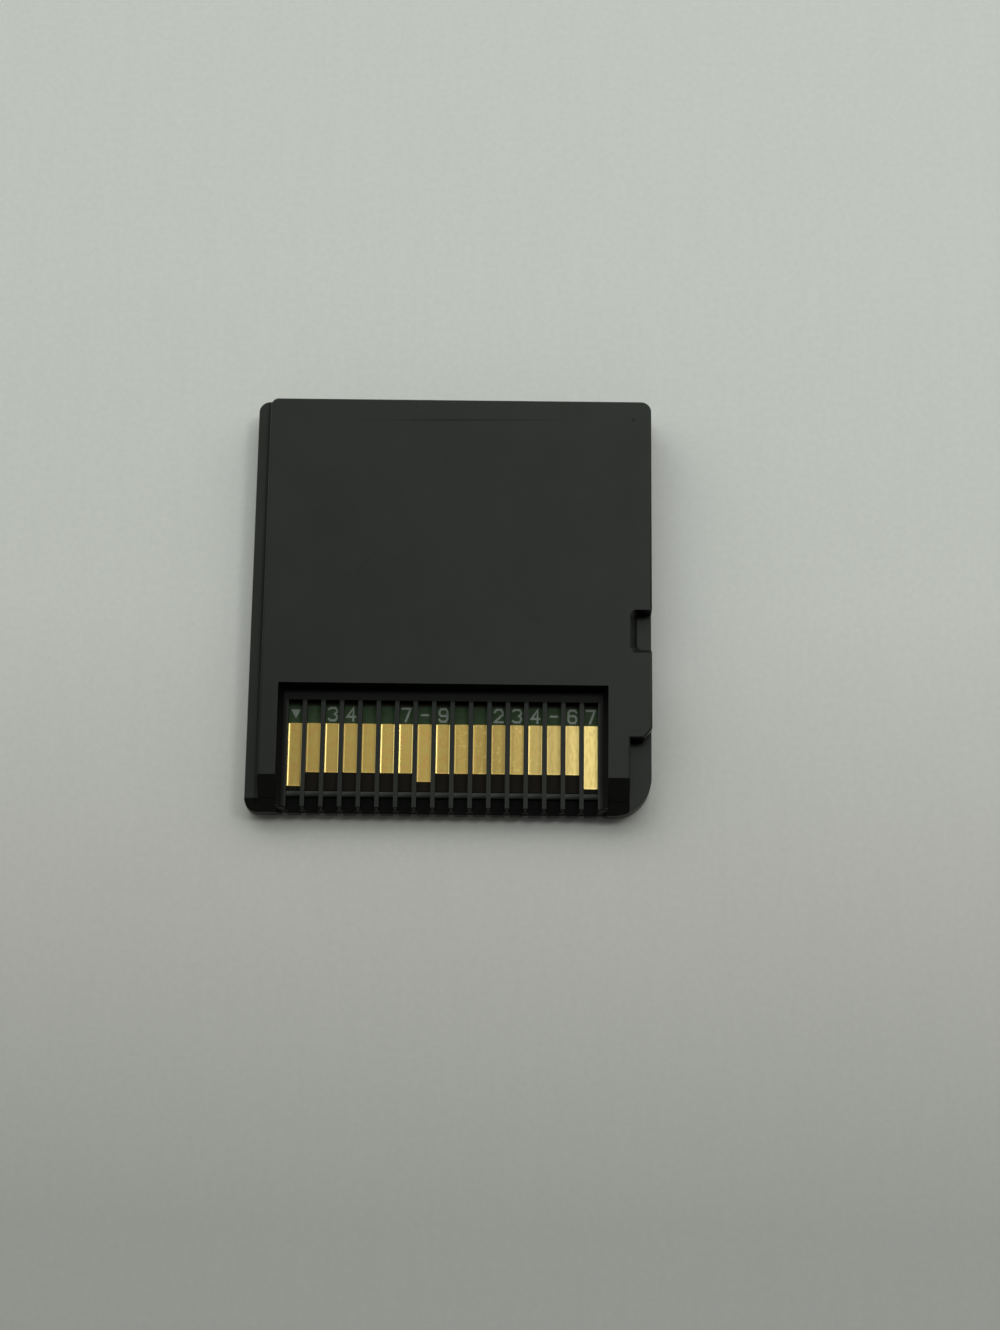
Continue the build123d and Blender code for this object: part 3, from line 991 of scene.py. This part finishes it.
@dataclass(frozen=True)
class SoftSky:
    """A sky that is bright beyond overhead, more so to the left, with weak light low on the other sides.

    Its bands give brightness against place: 0 at the near horizon, 0.5 overhead, 1 at the far one.
    """

    colour: str = "#fbfffa"
    bands: tuple[tuple[float, float], ...] = (
        (0.02, 0.02), (0.04, 0.05), (0.08, 0.20), (0.14, 0.22), (0.22, 0.06), (0.35, 0.03), (0.53, 0.02),
        (0.60, 0.62), (0.65, 1.40), (0.70, 0.46), (0.75, 0.64), (0.80, 1.80), (0.90, 0.95), (1.0, 0.05))
    lean: float = -0.35
    side_light: float = 0.22
    side_from: float = 0.60
    side_to: float = 0.95

    def spread(self) -> None:
        """Lights the world: the bands times the lean to the left, plus the light low at both sides."""
        world = bpy.data.worlds.new("soft_sky")
        bpy.context.scene.world = world
        world.use_nodes = True
        tree = world.node_tree
        direction = add_node(tree, "TexCoord").outputs["Generated"]
        axes = add_node(tree, "SeparateXYZ", links={"Vector": direction})
        place = add_node(tree, "MapRange", links={"Value": axes.outputs["Y"], "From Min": -1.0})
        bands = add_node(tree, "ValToRGB", links={"Fac": place.outputs["Result"]}, stops=[
            (position, (light, light, light, 1.0)) for position, light in self.bands])
        leaning = add_node(tree, "Math", {"operation": "MULTIPLY_ADD"}, {
            0: axes.outputs["X"], 1: self.lean, 2: 1.0})
        broad = add_node(tree, "Math", {"operation": "MULTIPLY"}, {
            0: bands.outputs["Color"], 1: leaning.outputs[0]})
        sideways = add_node(tree, "Math", {"operation": "ABSOLUTE"}, {0: axes.outputs["X"]})
        sides = add_node(tree, "MapRange", {"interpolation_type": "SMOOTHSTEP"}, {
            "Value": sideways.outputs[0], "From Min": self.side_from, "From Max": self.side_to,
            "To Max": self.side_light})
        total = add_node(tree, "Math", {"operation": "ADD"}, {
            0: broad.outputs[0], 1: sides.outputs["Result"]})
        background = tree.nodes["Background"]
        background.inputs["Color"].default_value = linear(self.colour)
        tree.links.new(total.outputs[0], background.inputs["Strength"])


@dataclass
class Studio:
    """Paper backdrop, soft sky, a broad lamp beyond the card, a panel on the right and a weak one above."""

    table_reach: float = 6.0
    backdrop: PaperBackdrop = PaperBackdrop()
    sky: SoftSky = SoftSky()
    lamps: tuple[Lamp, ...] = (
        Lamp("far_window", (0.02, 0.46, 0.385), 0.95, 0.28, 0.9),
        Lamp("right_panel", (0.26, 0.14, 0.50), 0.12, 0.12, 0.36),
        Lamp("overhead_patch", (0.05, 0.12, 0.50), 0.14, 0.14, 0.08),
    )

    def build(self) -> None:
        """Lays the table and hangs the lights; colours are shown as they are, with no film curve."""
        bpy.context.scene.view_settings.view_transform = "Standard"
        self.lay_table()
        self.sky.spread()
        for lamp in self.lamps:
            lamp.hang()

    def lay_table(self) -> None:
        """A flat square sheet under the card."""
        reach = self.table_reach
        corners = [(-reach, -reach, 0), (reach, -reach, 0), (reach, reach, 0), (-reach, reach, 0)]
        mesh = bpy.data.meshes.new("table")
        mesh.from_pydata(corners, [], [(0, 1, 2, 3)])
        mesh.materials.append(self.backdrop.material())
        table = bpy.data.objects.new("table", mesh)
        bpy.context.scene.collection.objects.link(table)


@dataclass
class Viewpoint:
    """Pinhole camera placed so that the card's edges fall where the photograph has them.

    The sensor's width lies along the frame's height, its longer side.
    """

    frame_height: int = 1330
    focal_pixels: float = 2526.7
    sensor_mm: float = 36.0
    clip_start: float = 0.005
    place: tuple[float, float, float] = (4.976 * MM, -60.057 * MM, 201.126 * MM)
    turn: tuple[float, float, float] = (-15.4244, -0.2555, -0.6510)  # card to camera, degrees

    def build(self) -> None:
        """Sets the scene's camera."""
        camera = bpy.data.cameras.new("photo_view")
        camera.sensor_width = self.sensor_mm
        camera.lens = self.focal_pixels / self.frame_height * camera.sensor_width
        camera.clip_start = self.clip_start
        holder = bpy.data.objects.new("photo_view", camera)
        to_camera = Euler([math.radians(angle) for angle in self.turn], "XYZ").to_matrix()
        holder.matrix_world = Matrix.Translation(self.place) @ to_camera.transposed().to_4x4()
        bpy.context.scene.collection.objects.link(holder)
        bpy.context.scene.camera = holder


def main() -> None:
    """Builds the pieces in order and reports each one."""
    logging.basicConfig(level=logging.INFO, format="%(name)s: %(message)s")
    near_y = CAD_BOX[0][1]
    for part in (Shells(), Contacts(), Board(near_y), Innards()):
        for piece in part.build():
            log.info("%s: %d faces", piece.name, len(piece.data.polygons))
    Studio().build()
    Viewpoint().build()


if __name__ == "__main__":
    main()
